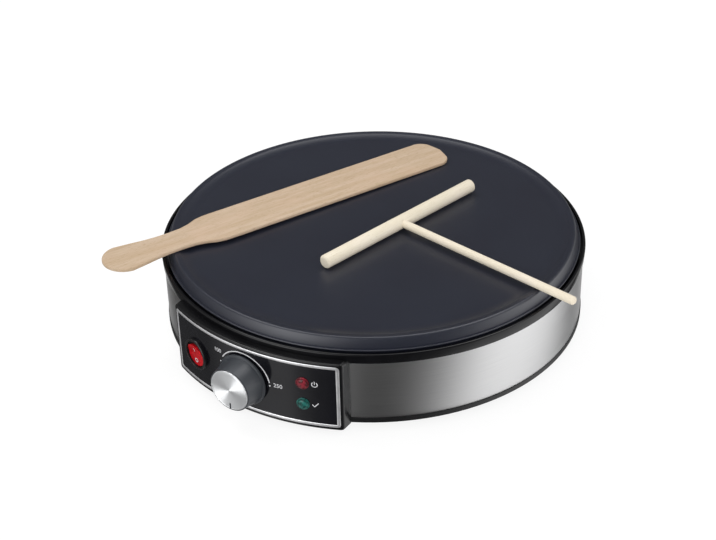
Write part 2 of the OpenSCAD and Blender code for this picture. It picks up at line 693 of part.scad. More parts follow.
bar_centre = [21.1, 7.2];
bar_turn = 77.6;
handle_turn = -88;
handle_lift = 0.15;       // the handle rests on the rim
tenon = 3.2;
module spreader_place() {
    translate([bar_centre[0], bar_centre[1], surface_z + bar_r + gap + 0.1]) rotate([0, 0, bar_turn]) children();
}
module spreader_bar() {
    chamfer = 1.2;
    color([0.9, 0.85, 0.76]) spreader_place() difference() {
        rotate([0, 90, 0]) rotate_extrude() polygon([[0, -bar_len / 2], [bar_r - chamfer, -bar_len / 2],
            [bar_r, chamfer - bar_len / 2], [bar_r, bar_len / 2 - chamfer], [bar_r - chamfer, bar_len / 2],
            [0, bar_len / 2]]);
        rotate([0, 0, handle_turn]) rotate([0, 90 - handle_lift, 0]) translate([0, 0, -tenon])
            cylinder(r = handle_r + 0.02, h = 20);
    }
}
module spreader_handle() {
    color([0.9, 0.85, 0.76]) spreader_place() rotate([0, 0, handle_turn]) rotate([0, 90 - handle_lift, 0])
        rotate_extrude() polygon([[0, -tenon], [handle_r, -tenon], [handle_r, handle_len - 0.7],
            [handle_r - 0.7, handle_len], [0, handle_len]]);
}

cooking_plate();
heating_element();
element_clamps();
clamp_screws();
element_insulators();
heat_reflector();
thermal_fuse();
fuse_clamp();
fuse_screw();
earth_screw();
upper_ring();
steel_band();
base_pan();
plate_screws();
feet();
foot_screws();
cord_gland();
terminal_block();
terminal_screws();
block_screw();
wire_live();
wire_switched();
wire_heater();
wire_neutral();
wire_earth();
panel_housing();
panel_fascia();
panel_trim();
panel_screws();
switch_body();
switch_terminals();
switch_rocker();
power_lamp_lens();
ready_lamp_lens();
lamp_bulbs();
lamp_clips();
thermostat_bracket();
thermostat_bush();
thermostat_nut();
thermostat_insulators();
thermostat_leaves();
thermostat_rivet();
bracket_screws();
thermostat_shaft();
knob_body();
knob_cap();
spatula();
spreader_bar();
spreader_handle();
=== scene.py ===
import json
import math
import bpy
from mathutils import Matrix, Vector


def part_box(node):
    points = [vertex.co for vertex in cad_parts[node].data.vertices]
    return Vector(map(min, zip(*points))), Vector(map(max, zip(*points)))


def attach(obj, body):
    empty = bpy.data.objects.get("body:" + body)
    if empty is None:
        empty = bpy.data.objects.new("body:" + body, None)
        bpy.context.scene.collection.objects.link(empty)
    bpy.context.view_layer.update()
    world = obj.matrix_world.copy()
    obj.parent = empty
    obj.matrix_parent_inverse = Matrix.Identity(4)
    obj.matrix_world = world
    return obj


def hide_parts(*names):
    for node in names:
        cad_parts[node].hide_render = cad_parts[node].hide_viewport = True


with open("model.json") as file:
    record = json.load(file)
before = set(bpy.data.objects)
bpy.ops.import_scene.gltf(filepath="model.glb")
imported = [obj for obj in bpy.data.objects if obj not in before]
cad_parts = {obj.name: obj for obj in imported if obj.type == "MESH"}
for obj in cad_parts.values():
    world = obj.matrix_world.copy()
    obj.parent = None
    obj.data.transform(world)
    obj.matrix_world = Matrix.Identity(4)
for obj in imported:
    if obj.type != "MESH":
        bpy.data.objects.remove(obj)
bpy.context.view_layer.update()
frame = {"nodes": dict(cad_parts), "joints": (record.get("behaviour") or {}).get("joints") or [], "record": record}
mm = 0.001
joints = {joint["name"]: joint for joint in frame["joints"]}
print("frame loaded:", len(frame["nodes"]), "nodes")


# modelling helpers; their sizes and places are in millimetres

def deselectAll():
    if bpy.context.object and bpy.context.object.mode != "OBJECT":
        bpy.ops.object.mode_set(mode="OBJECT")
    bpy.ops.object.select_all(action="DESELECT")


def pickOnly(piece):
    deselectAll()
    piece.select_set(True)
    bpy.context.view_layer.objects.active = piece


def editAll(piece):
    pickOnly(piece)
    bpy.ops.object.mode_set(mode="EDIT")
    bpy.ops.mesh.select_all(action="SELECT")


def closeEdit(merge=1e-6):
    # merges doubles, turns the faces outwards and leaves edit mode
    bpy.ops.mesh.select_all(action="SELECT")
    bpy.ops.mesh.remove_doubles(threshold=merge)
    bpy.ops.mesh.normals_make_consistent(inside=False)
    bpy.ops.object.mode_set(mode="OBJECT")


def selectWhere(piece, test, kind):
    # leaves the piece in edit mode with only those parts selected that pass the test
    bpy.ops.object.mode_set(mode="EDIT")
    bpy.ops.mesh.select_mode(type=kind)
    bpy.ops.mesh.select_all(action="DESELECT")
    bpy.ops.object.mode_set(mode="OBJECT")
    for part in piece.data.edges if kind == "EDGE" else piece.data.polygons:
        part.select = test(part)
    bpy.ops.object.mode_set(mode="EDIT")


def arcPoints(centre, radius, start, end, steps):
    angles = [math.radians(start + (end - start) * i / steps) for i in range(steps + 1)]
    return [(centre[0] + radius * math.cos(a), centre[1] + radius * math.sin(a)) for a in angles]


def drawLine(name, points):
    # one vertex extruded along the points; the piece stays in edit mode
    deselectAll()
    bpy.ops.mesh.primitive_plane_add(size=mm)
    piece = bpy.context.object
    piece.name = name
    bpy.ops.object.mode_set(mode="EDIT")
    bpy.ops.mesh.select_mode(type="VERT")
    bpy.ops.mesh.select_all(action="SELECT")
    bpy.ops.mesh.merge(type="CENTER")
    spots = [Vector(point) * mm for point in points]
    bpy.ops.transform.translate(value=spots[0])
    for last, spot in zip(spots, spots[1:]):
        bpy.ops.mesh.extrude_region_move(TRANSFORM_OT_translate={"value": spot - last})
    bpy.ops.mesh.select_all(action="SELECT")
    bpy.ops.mesh.remove_doubles(threshold=1e-7)
    return piece


# where (radius, place along the axis) lies for each axis; along Y the place counts outwards to the panel
axisPlaces = {"Z": lambda r, along, middle: (r, 0, along), "Y": lambda r, along, middle: (r, -along, middle),
              "X": lambda r, along, middle: (along, r, middle)}
axisLines = {"Z": (0, 0, 1), "Y": (0, 1, 0), "X": (1, 0, 0)}


def spinShape(name, profile, axis, middle, steps):
    # spins a closed profile once round an axis that crosses the body's own at height middle
    piece = drawLine(name, [axisPlaces[axis](r, along, middle) for r, along in profile])
    bpy.ops.mesh.spin(steps=steps, angle=2 * math.pi, center=(0, 0, middle * mm), axis=axisLines[axis])
    closeEdit()
    return piece


def smoothShape(piece, angle=40):
    pickOnly(piece)
    bpy.ops.object.shade_smooth_by_angle(angle=math.radians(angle))


def weighNormals(piece):
    # flat faces keep flat shading and their rounded edges take the whole turn
    pickOnly(piece)
    weighting = piece.modifiers.new("weighting", "WEIGHTED_NORMAL")
    weighting.keep_sharp = True
    bpy.ops.object.modifier_apply(modifier=weighting.name)


def roundEdges(piece, width, segments, angle):
    # rounds the edges that are sharper than the angle
    pickOnly(piece)
    bevel = piece.modifiers.new("rounding", "BEVEL")
    bevel.width = width * mm
    bevel.segments = segments
    bevel.limit_method = "ANGLE"
    bevel.angle_limit = math.radians(angle)
    bpy.ops.object.modifier_apply(modifier=bevel.name)


def cutWith(piece, cutter):
    pickOnly(piece)
    cut = piece.modifiers.new("cut", "BOOLEAN")
    cut.operation = "DIFFERENCE"
    cut.solver = "EXACT"
    cut.object = cutter
    bpy.ops.object.modifier_apply(modifier=cut.name)
    bpy.data.objects.remove(cutter)


def placePiece(piece, spot=(0, 0, 0), turn=(0, 0, 0)):
    # puts a place and a turn in degrees into the mesh
    pickOnly(piece)
    piece.location = Vector(spot) * mm
    piece.rotation_euler = [math.radians(a) for a in turn]
    bpy.ops.object.transform_apply(location=True, rotation=True, scale=True)


def addBlock(name, size, middle):
    deselectAll()
    bpy.ops.mesh.primitive_cube_add(size=mm)
    piece = bpy.context.object
    piece.name = name
    piece.scale = size
    placePiece(piece, middle)
    return piece


def joinPieces(name, pieces):
    deselectAll()
    for piece in pieces:
        piece.select_set(True)
    bpy.context.view_layer.objects.active = pieces[0]
    bpy.ops.object.join()
    pieces[0].name = name
    return pieces[0]


def finishPiece(piece, material, body, slot, *nodes):
    piece.data.materials.clear()
    piece.data.materials.append(material)
    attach(piece, body)
    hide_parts(*nodes)


def boxOf(node):
    # a node's lowest and highest corner
    return [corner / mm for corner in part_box(node)]


# material helpers

noiseSpan = {"From Min": 0.3, "From Max": 0.7}  # between these a noise texture mostly stays


def toLinear(hexColour):
    values = [int(hexColour[i:i + 2], 16) / 255 for i in (0, 2, 4)]
    return [v / 12.92 if v <= 0.04045 else ((v + 0.055) / 1.055) ** 2.4 for v in values] + [1]


def addNode(tree, kind, inputs=None, **settings):
    # kind comes without ShaderNode; an input is a value, a node whose first output is linked, or an output
    node = tree.nodes.new("ShaderNode" + kind)
    for name, value in settings.items():
        setattr(node, name, value)
    for name, value in (inputs or {}).items():
        if isinstance(value, bpy.types.Node):
            value = value.outputs[0]
        if isinstance(value, bpy.types.NodeSocket):
            tree.links.new(value, node.inputs[name])
        else:
            node.inputs[name].default_value = value
    return node


def startMaterial(name):
    material = bpy.data.materials.new(name)
    material.use_nodes = True
    tree = material.node_tree
    tree.nodes.clear()
    return material, tree, addNode(tree, "TexCoord").outputs["Object"]


def finishMaterial(tree, noise, rough, inputs):
    # the roughness goes between its two limits with the noise
    finish = addNode(tree, "MapRange", {"Value": noise, **noiseSpan, "To Min": rough[0], "To Max": rough[1]})
    shader = addNode(tree, "BsdfPrincipled", {"Roughness": finish, **inputs})
    addNode(tree, "OutputMaterial", {"Surface": shader})


# finishes whose colour drifts in soft patches and whose skin has a fine grain: two colours, the patches'
# width, the grain's width and depth, and the roughness between the grain's lows and highs
def grainedFinish(name, look):
    material, tree, place = startMaterial(name)
    patches = addNode(tree, "TexNoise", {"Vector": place, "Scale": 1 / (look["patch"] * mm), "Detail": 3.0})
    grain = addNode(tree, "TexNoise", {"Vector": place, "Scale": 1 / (look["grain"] * mm), "Detail": 2.0})
    spread = addNode(tree, "MapRange", {"Value": patches, **noiseSpan})
    colour = addNode(tree, "Mix", {
        0: spread, 6: toLinear(look["colours"][0]), 7: toLinear(look["colours"][1])}, data_type="RGBA")
    bump = addNode(tree, "Bump", {"Height": grain, "Distance": look["depth"] * mm})
    finishMaterial(tree, grain, look["rough"], {
        "Base Color": colour.outputs[2], "Normal": bump, **look["shader"]})
    return material


def blackPlastic(name, colours, rough, grain=0.7):
    # moulded from black granules in an eroded tool: even and satin, with a very fine grain
    return grainedFinish(name, {
        "colours": colours, "patch": 25, "grain": grain, "depth": 0.01, "rough": rough,
        "shader": {"IOR": 1.5, "Specular IOR Level": 0.4}})


def smallMetal(name, colours, rough, patch):
    # plated or bare metal of small parts: even, with soft patches where it was handled
    return grainedFinish(name, {
        "colours": colours, "patch": patch, "grain": 1.5, "depth": 0.004, "rough": rough,
        "shader": {"Metallic": 1.0}})


def mattCompound(name, colours, rough, grain):
    # unglazed ceramic, silicone sleeve or moulded rubber: matt, with a fine grain
    return grainedFinish(name, {
        "colours": colours, "patch": 8, "grain": grain, "depth": 0.015, "rough": rough,
        "shader": {"Specular IOR Level": 0.3}})


def finishBrushed(tree, lines, axis, colour, look):
    # bare metal whose shine is drawn out across the lines that run round the axis
    tangent = addNode(tree, "Tangent", direction_type="RADIAL", axis=axis)
    finishMaterial(tree, lines, look["rough"], {
        "Base Color": colour.outputs[2], "Tangent": tangent, "Metallic": 1.0,
        "Anisotropic": look["drawnOut"], "Anisotropic Rotation": look["shineTurn"]})


def brushedStainless(look):
    # rolled stainless sheet brushed round the body: fine lines along it, light spread across them
    material, tree, place = startMaterial("brushedStainless")
    apart = addNode(tree, "SeparateXYZ", {"Vector": place})
    back = addNode(tree, "Math", {0: apart.outputs["Y"], 1: -1.0}, operation="MULTIPLY")
    angle = addNode(tree, "Math", {0: apart.outputs["X"], 1: back}, operation="ARCTAN2")
    along = addNode(tree, "Math", {
        0: angle, 1: look["bodyRadius"] / look["lineLength"]}, operation="MULTIPLY")
    across = addNode(tree, "Math", {
        0: apart.outputs["Z"], 1: 1 / (look["lineWidth"] * mm)}, operation="MULTIPLY")
    strip = addNode(tree, "CombineXYZ", {"X": along, "Y": across})
    lines = addNode(tree, "TexNoise", {"Vector": strip, "Scale": 1.0, "Detail": 3.0})
    colour = addNode(tree, "Mix", {
        0: lines, 6: toLinear(look["colours"][0]), 7: toLinear(look["colours"][1])}, data_type="RGBA")
    finishBrushed(tree, lines, "Z", colour, look)
    return material


def spunAluminium(look):
    # aluminium turned on its face: rings round the centre, light spread from the centre outwards
    material, tree, place = startMaterial("spunAluminium")
    low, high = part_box("knob_cap")
    middle = Vector(((low.x + high.x) / 2, low.y, (low.z + high.z) / 2))
    offset = addNode(tree, "VectorMath", {0: place, 1: middle}, operation="SUBTRACT")
    radius = addNode(tree, "VectorMath", {0: offset}, operation="LENGTH")
    rings = addNode(tree, "TexNoise", {
        "W": radius.outputs["Value"], "Scale": 1 / (look["ringWidth"] * mm), "Detail": 2.0},
        noise_dimensions="1D")
    colour = addNode(tree, "Mix", {
        0: rings, 6: toLinear(look["colours"][0]), 7: toLinear(look["colours"][1])}, data_type="RGBA")
    finishBrushed(tree, rings, "Y", colour, look)
    return material


clearLook = {"edgeBlend": 0.35, "cloud": 2.2, "cloudFrom": 0.35, "cloudTo": 0.65, "rough": (0.15, 0.15)}


def clearPlastic(name, deep, bright, glow):
    # moulded polycarbonate or acrylic, dyed through: glossy, deeper in colour where it is seen edge on, and with a
    # painted glow from its emission, though the part is no lit lamp
    material, tree, place = startMaterial(name)
    facing = addNode(tree, "LayerWeight", {"Blend": clearLook["edgeBlend"]})
    cloud = addNode(tree, "TexNoise", {"Vector": place, "Scale": 1 / (clearLook["cloud"] * mm)})
    clear = addNode(tree, "MapRange", {
        "Value": cloud, "From Min": clearLook["cloudFrom"], "From Max": clearLook["cloudTo"]})
    inner = addNode(tree, "Mix", {0: clear, 6: toLinear(bright), 7: toLinear(deep)}, data_type="RGBA")
    colour = addNode(tree, "Mix", {
        0: facing.outputs["Facing"], 6: inner.outputs[2], 7: toLinear(deep)}, data_type="RGBA")
    finishMaterial(tree, cloud, clearLook["rough"], {
        # painted glow: the emission makes the part shine a little of itself, though nothing in it is lit
        "Base Color": colour.outputs[2], "Emission Color": colour.outputs[2], "Emission Strength": glow,
        "IOR": 1.49, "Specular IOR Level": 0.35})
    return material


# the wood's patterns: their widths, and for each layer where it starts and is full and how much it covers
woodGrain = {"stretch": 0.05, "fibre": 0.5, "fleck": 1.1, "fleckStretch": 0.35, "patch": 22, "depth": 0.05,
             "rough": (0.55, 0.72), "yearLayer": (0.35, 0.65, 1.0), "fibreLayer": (0.4, 0.75, 0.35),
             "fleckLayer": (0.25, 0.1, 0.6), "patchLayer": (0.45, 0.75, 0.4)}


def sandedWood(name, look, turn):
    # straight-grained hardwood, sawn and sanded: soft year lines along it and short darker flecks
    material, tree, place = startMaterial(name)
    tones = [toLinear(tone) for tone in look["tones"]]
    straight = addNode(tree, "Mapping", {"Vector": place, "Rotation": (0, 0, math.radians(-turn))})
    stretch = addNode(tree, "VectorMath", {
        0: straight, 1: (woodGrain["stretch"], 1.0, 1.0)}, operation="MULTIPLY")
    squeeze = addNode(tree, "VectorMath", {
        0: straight, 1: (woodGrain["fleckStretch"] / look["fleckLength"], 1.0, 1.0)}, operation="MULTIPLY")
    yearLines = addNode(tree, "TexNoise", {
        "Vector": stretch, "Scale": 1 / (look["yearLines"] * mm), "Detail": 4.0, "Distortion": 0.3})
    fibre = addNode(tree, "TexNoise", {"Vector": stretch, "Scale": 1 / (woodGrain["fibre"] * mm), "Detail": 3.0})
    flecks = addNode(tree, "TexVoronoi", {"Vector": squeeze, "Scale": 1 / (woodGrain["fleck"] * mm)})
    patches = addNode(tree, "TexNoise", {"Vector": straight, "Scale": 1 / (woodGrain["patch"] * mm)})
    colour = tones[0]
    for pattern, layer, tone in ((yearLines, "yearLayer", tones[1]), (fibre, "fibreLayer", tones[2]),
                                 (flecks, "fleckLayer", tones[2]), (patches, "patchLayer", tones[3])):
        start, full, cover = woodGrain[layer]
        amount = addNode(tree, "MapRange", {
            "Value": pattern, "From Min": start, "From Max": full, "To Max": cover})
        mixed = addNode(tree, "Mix", {0: amount, 6: colour, 7: tone}, data_type="RGBA")
        colour = mixed.outputs[2]
    bump = addNode(tree, "Bump", {"Height": fibre, "Distance": woodGrain["depth"] * mm})
    finishMaterial(tree, fibre, woodGrain["rough"], {
        "Base Color": colour, "Normal": bump, "IOR": 1.5, "Specular IOR Level": 0.25})
    return material


# PTFE coat sprayed on die-cast aluminium: dark blue-grey satin with a fine pebbled skin
coat = grainedFinish("nonStickCoat", {
    "colours": ("20222d", "232631"), "patch": 60, "grain": 0.9, "depth": 0.02, "rough": (0.31, 0.37),
    "shader": {"IOR": 1.5, "Specular IOR Level": 0.55}})
# compression-moulded phenolic: black and glossy off a polished tool, faintly mottled
phenolic = grainedFinish("phenolicBlack", {
    "colours": ("08080a", "111114"), "patch": 14, "grain": 0.8, "depth": 0.005, "rough": (0.12, 0.17),
    "shader": {"IOR": 1.6, "Specular IOR Level": 0.22}})
# hot-stamped silver foil: bright, almost even
foil = grainedFinish("silverFoil", {
    "colours": ("d6d6d8", "ebebec"), "patch": 5, "grain": 3, "depth": 0.004, "rough": (0.3, 0.4),
    "shader": {"Metallic": 0.8}})
# screen-printed ink, a little thin at its grain
ink = grainedFinish("whiteInk", {
    "colours": ("d4d4d8", "f0f0f2"), "patch": 0.5, "grain": 0.5, "depth": 0.004, "rough": (0.45, 0.55),
    "shader": {}})
# the scratches are drawn 0.35 mm apart, coarser than the real ones, so that they show
stainless = brushedStainless({
    "colours": ("b9b9ba", "d2d2d2"), "lineWidth": 0.35, "lineLength": 41, "bodyRadius": 165,
    "rough": (0.3, 0.4), "drawnOut": 0.75, "shineTurn": 0.25})
spun = spunAluminium({
    "colours": ("eff1f3", "fafbfc"), "ringWidth": 0.3,
    "rough": (0.39, 0.45), "drawnOut": 0.95, "shineTurn": 0.335})
basePlastic = blackPlastic("basePolypropylene", ("0c0c0e", "131315"), (0.38, 0.47))
housingPlastic = blackPlastic("housingABS", ("0b0b0d", "131315"), (0.16, 0.24))
fasciaFilm = blackPlastic("fasciaFilm", ("101014", "141419"), (0.09, 0.13), 1.6)
switchNylon = blackPlastic("switchNylon", ("121214", "1a1a1c"), (0.2, 0.28))
knobPlastic = blackPlastic("knobABS", ("303338", "3a3d42"), (0.32, 0.41))
rubber = mattCompound("footRubber", ("101010", "181818"), (0.7, 0.8), 0.9)
# the last number is a painted glow: an emission strength that makes these unlit parts shine a little by themselves
rockerRed = clearPlastic("rockerPolycarbonate", "9c0811", "e21b25", 0.15)
lensRed = clearPlastic("lensRedAcrylic", "3c0a10", "8e2c38", 0.05)
lensGreen = clearPlastic("lensGreenAcrylic", "0a2c2a", "2a7068", 0.05)
# four tones each: ground, year lines, fibres and flecks, and patches
woodLooks = {
    "beech": {"tones": ("d0baa2", "c4ac90", "a3835f", "d3b79f"), "yearLines": 5, "fleckLength": 2.0},
    "pale": {"tones": ("f6edda", "ede3ce", "d8c8ab", "f5e9da"), "yearLines": 6, "fleckLength": 1.6}}
toolAngles = {"spatula": 67.8, "bar": 77.6, "handle": -10.4}
beech = sandedWood("sandedBeech", woodLooks["beech"], toolAngles["spatula"])
barBirch = sandedWood("sandedBirchBar", woodLooks["pale"], toolAngles["bar"])
handleBirch = sandedWood("sandedBirchHandle", woodLooks["pale"], toolAngles["handle"])
slotMaterials = {
    "element": smallMetal("incoloySheath", ("3f3b38", "5a5450"), (0.4, 0.5), 9),
    "zinc": smallMetal("zincPlatedSteel", ("a7aab0", "c3c6ca"), (0.26, 0.38), 5),
    "reflector": smallMetal("aluminiumSheet", ("b5b6b8", "cbccce"), (0.3, 0.4), 30),
    "brass": smallMetal("stampedBrass", ("b08d4a", "cbaa62"), (0.24, 0.36), 4),
    "ceramic": mattCompound("steatite", ("d6cfbb", "e6e0cf"), (0.55, 0.65), 0.8),
    "gland": mattCompound("glandNylon", ("121214", "19191b"), (0.45, 0.55), 0.8),
    "wire_brown": mattCompound("brownSilicone", ("5a3420", "6b4029"), (0.55, 0.65), 0.6),
    "wire_red": mattCompound("redSilicone", ("8f1d1a", "a42824"), (0.55, 0.65), 0.6),
    "wire_blue": mattCompound("blueSilicone", ("1f3f8c", "2a4fa3"), (0.55, 0.65), 0.6),
    "wire_green": mattCompound("greenSilicone", ("4f7a22", "628f2e"), (0.55, 0.65), 0.6),
    "bulb": mattCompound("lampGlass", ("d8d2c4", "eae6da"), (0.1, 0.2), 2),
    "plate": coat, "ring": phenolic, "band": stainless, "base": basePlastic, "rubber": rubber,
    "housing": housingPlastic, "fascia": fasciaFilm, "trim": foil, "switch": switchNylon, "rocker": rockerRed,
    "lens_red": lensRed, "lens_green": lensGreen, "knob": knobPlastic, "cap": spun, "beech": beech,
    "pale_wood": barBirch}
for part in frame["record"]["subparts"]:
    for holder in frame["nodes"][part["node"]].material_slots:
        holder.material = slotMaterials[part["material_slot"]]
print("materials ready:", len(bpy.data.materials))


# where the photograph was taken from: degrees, metres and the lens in millimetres
photoCamera = {"azimuth": 33.4, "elevation": 31.7953, "distance": 1.2, "lens": 75.72, "aimHeight": 0.048,
               "pan": 0.6011, "tilt": -0.5866, "roll": -1.0988}


def addCamera(view):
    aim = Matrix.Rotation(math.radians(view["azimuth"]), 4, "Z")
    aim = aim @ Matrix.Rotation(math.radians(90 - view["elevation"]), 4, "X")
    spot = Vector((0, 0, view["aimHeight"])) + aim.to_3x3() @ Vector((0, 0, view["distance"]))
    for axis, turn in (("Y", view["pan"]), ("X", view["tilt"]), ("Z", view["roll"])):
        aim = aim @ Matrix.Rotation(math.radians(turn), 4, axis)
    data = bpy.data.cameras.new("photoCamera")
    data.lens = view["lens"]
    data.sensor_width = 36
    data.sensor_fit = "HORIZONTAL"
    camera = bpy.data.objects.new("photoCamera", data)
    bpy.context.scene.collection.objects.link(camera)
    camera.matrix_world = Matrix.Translation(spot) @ aim
    bpy.context.scene.camera = camera


addCamera(photoCamera)
print("camera placed")


plateShape = {"surfaceRadius": 143, "fillet": 25, "filletTurn": 25, "flare": 5.2, "rimHeight": 2.5,
              "thickness": 4, "crestRound": 1.1, "flareRound": 2.2, "lipReach": 0.7, "lipRound": 0.6,
              "lipWidth": 1.6, "lipHeight": 0.9, "lipFoot": 0.6, "lipUnder": 0.2, "seatGap": 0.1,
              "skirtDrop": 4.5, "skirtOut": 2.6, "skirtIn": 0.6, "rootIn": 2.3, "steps": 288}


def makePlate(shape):
    # cast plate: flat surface, long rise to the crest, flare outside it and a narrow lip at its foot
    high = boxOf("cooking_plate")[1]
    lipR, crestR = high.x + shape["lipReach"], high.x - shape["flare"]
    lipIn, skirtR, corner = lipR - shape["lipWidth"], crestR + shape["skirtOut"], shape["lipUnder"]
    surface = high.z - shape["rimHeight"]
    under = surface - shape["thickness"]
    seat = boxOf("upper_ring")[1].z + shape["seatGap"]
    lipTop = seat + shape["lipHeight"]
    lipBottom, skirt = seat + shape["seatGap"], seat - shape["skirtDrop"]
    crest, bulge, lip = shape["crestRound"], shape["flareRound"], shape["lipRound"]
    profile = [(0, under), (0, surface)]
    profile += arcPoints((shape["surfaceRadius"], surface + shape["fillet"]), shape["fillet"], -90,
                         shape["filletTurn"] - 90, 10)
    profile += arcPoints((crestR, high.z - crest), crest, 90 + shape["filletTurn"] - 3, 92, 4)
    profile += arcPoints((crestR, high.z - bulge), bulge, 90, 20, 9)
    profile += [(lipIn, lipTop + shape["lipFoot"]), (lipIn, lipTop)]
    profile += arcPoints((lipR - lip, lipTop - lip), lip, 88, 0, 5)
    profile += [(lipR, lipBottom + corner), (lipR - corner, lipBottom), (skirtR, lipBottom), (skirtR, skirt),
                (crestR - shape["skirtIn"], skirt), (crestR - shape["rootIn"], under), (0, under)]
    piece = spinShape("castPlate", profile, "Z", 0, shape["steps"])
    smoothShape(piece)
    finishPiece(piece, coat, "base", "plate", "cooking_plate")
    return surface


ringShape = {"height": 7.7, "outerTrim": 0.6, "outerRound": 1.3, "innerRound": 0.8, "topWidth": 2.7,
             "shelfDrop": 4.4, "width": 12.9, "footIn": 0.8, "footRound": 0.5, "bandCover": 0.15,
             "tongueOut": 0.8, "tongueIn": 2.6, "steps": 288}


def makeRing(shape):
    # moulded ring: a rounded top edge, a shelf under the plate and a tongue that runs down inside the band
    low, high = boxOf("upper_ring")
    band = boxOf("steel_band")[1]
    outer, inner = high.x - shape["outerTrim"], high.x - shape["outerTrim"] - shape["topWidth"]
    foot, shelf, back = high.z - shape["height"], high.z - shape["shelfDrop"], high.x - shape["width"]
    cover, tongueR = band.x + shape["bandCover"], band.x - shape["tongueOut"]
    tongueBack = band.x - shape["tongueIn"]
    topRound, innerRound, footRound = shape["outerRound"], shape["innerRound"], shape["footRound"]
    profile = [(cover, foot)] + arcPoints((outer - shape["footIn"], foot + footRound), footRound, -90, 0, 3)
    profile += arcPoints((outer - topRound, high.z - topRound), topRound, 0, 90, 6)
    profile += arcPoints((inner + innerRound, high.z - innerRound), innerRound, 90, 180, 5)
    profile += [(inner, shelf), (back, shelf), (back, foot), (tongueBack, foot), (tongueBack, low.z),
                (tongueR, low.z), (tongueR, band.z), (cover, band.z), (cover, foot)]
    piece = spinShape("phenolicRing", profile, "Z", 0, shape["steps"])
    smoothShape(piece)
    finishPiece(piece, phenolic, "base", "ring", "upper_ring")


bandShape = {"sheet": 0.6, "edgeRound": 0.15, "steps": 360}


def makeBand(shape):
    # sheet steel hoop with its lower edge broken
    low, high = boxOf("steel_band")
    outer, inner, edge = high.x, high.x - shape["sheet"], shape["edgeRound"]
    profile = [(inner, high.z), (inner, low.z)] + arcPoints((outer - edge, low.z + edge), edge, -90, 0, 3)
    profile += [(outer, high.z), (inner, high.z)]
    piece = spinShape("stainlessBand", profile, "Z", 0, shape["steps"])
    smoothShape(piece)
    finishPiece(piece, stainless, "base", "band", "steel_band")


def smoothCopy(name, node, material, body, slot):
    # the node's own shape with its faces joined and shaded smooth
    source = frame["nodes"][node]
    pickOnly(source)
    bpy.ops.object.duplicate()
    piece = bpy.context.object
    piece.name = name
    for mark in [key for key in piece.keys() if key.startswith("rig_")]:
        del piece[mark]
    piece.parent = None
    piece.data = piece.data.copy()
    bpy.ops.object.mode_set(mode="EDIT")
    bpy.ops.mesh.select_all(action="SELECT")
    bpy.ops.mesh.remove_doubles(threshold=1e-6)
    bpy.ops.mesh.dissolve_limited(angle_limit=math.radians(1))
    bpy.ops.object.mode_set(mode="OBJECT")
    smoothShape(piece, 30)
    weighNormals(piece)
    finishPiece(piece, material, body, slot, node)


surfaceZ = makePlate(plateShape)
makeRing(ringShape)
makeBand(bandShape)
smoothCopy("basePan", "base_pan", basePlastic, "base", "base")
smoothCopy("rubberFeet", "feet", rubber, "base", "rubber")
smoothCopy("cordGland", "cord_gland", slotMaterials["gland"], "base", "gland")
print("plate and body made")


# control panel

# borderSteps is the border's cross-section from its outer edge inwards: each step's width and rise
panelShape = {"frontRadius": 173, "backRadius": 165.2, "corner": 2.5, "edgeRound": 1.2, "cuts": 48,
              "fasciaCorner": 2.1, "fasciaRaise": 0.05, "fasciaThick": 1, "inkRaise": 0.1,
              "borderCorner": 2.6, "borderGap": 0.15,
              "borderSteps": ((0.2, 0.25), (0.3, 0.1), (0.7, 0.05), (0.7, -0.05), (0.3, -0.1), (0.2, -0.25))}


def flatBlock(name, node, front, back, corner, shape):
    # a block as wide and high as the node, with its four corners rounded; for bendBlock
    low, high = boxOf(node)
    piece = addBlock(name, (2 * high.x, front - back, high.z - low.z),
                     (0, -(front + back) / 2, (low.z + high.z) / 2))

    def runsInward(edge):
        first, second = (piece.data.vertices[i].co for i in edge.vertices)
        return abs(first.y - second.y) > 0.5 * (front - back) * mm
    selectWhere(piece, runsInward, "EDGE")
    bpy.ops.mesh.bevel(offset=corner * mm, segments=6, affect="EDGES")
    return piece, high.x, shape["cuts"]


def bendBlock(piece, halfWidth, cuts):
    # cuts the block into upright strips and bends it round the body
    editAll(piece)
    for i in range(1, cuts):
        bpy.ops.mesh.select_all(action="SELECT")
        bpy.ops.mesh.bisect(plane_co=((2 * i / cuts - 1) * halfWidth * mm, 0, 0), plane_no=(1, 0, 0))
    bpy.ops.object.mode_set(mode="OBJECT")
    followCurve(piece)
    smoothShape(piece, 30)
    weighNormals(piece)


def followCurve(piece):
    # bends a flat piece, drawn at its radius along y, round the body's axis
    for vertex in piece.data.vertices:
        x, depth = vertex.co.x / mm, -vertex.co.y / mm
        vertex.co.y = -math.sqrt(depth ** 2 - x ** 2) * mm


def makeHousing(shape):
    piece, halfWidth, cuts = flatBlock("panelHousing", "panel_housing", shape["frontRadius"],
                                       shape["backRadius"], shape["corner"], shape)
    selectWhere(piece, lambda face: face.normal.y < -0.9, "FACE")
    bpy.ops.mesh.region_to_loop()
    bpy.ops.mesh.bevel(offset=shape["edgeRound"] * mm, segments=4, affect="EDGES")
    bendBlock(piece, halfWidth, cuts)
    finishPiece(piece, housingPlastic, "base", "housing", "panel_housing")


def makeFascia(shape):
    front = shape["frontRadius"]
    piece, halfWidth, cuts = flatBlock("panelFascia", "panel_fascia", front + shape["fasciaRaise"],
                                       front - shape["fasciaThick"], shape["fasciaCorner"], shape)
    bendBlock(piece, halfWidth, cuts)
    finishPiece(piece, fasciaFilm, "base", "fascia", "panel_fascia")


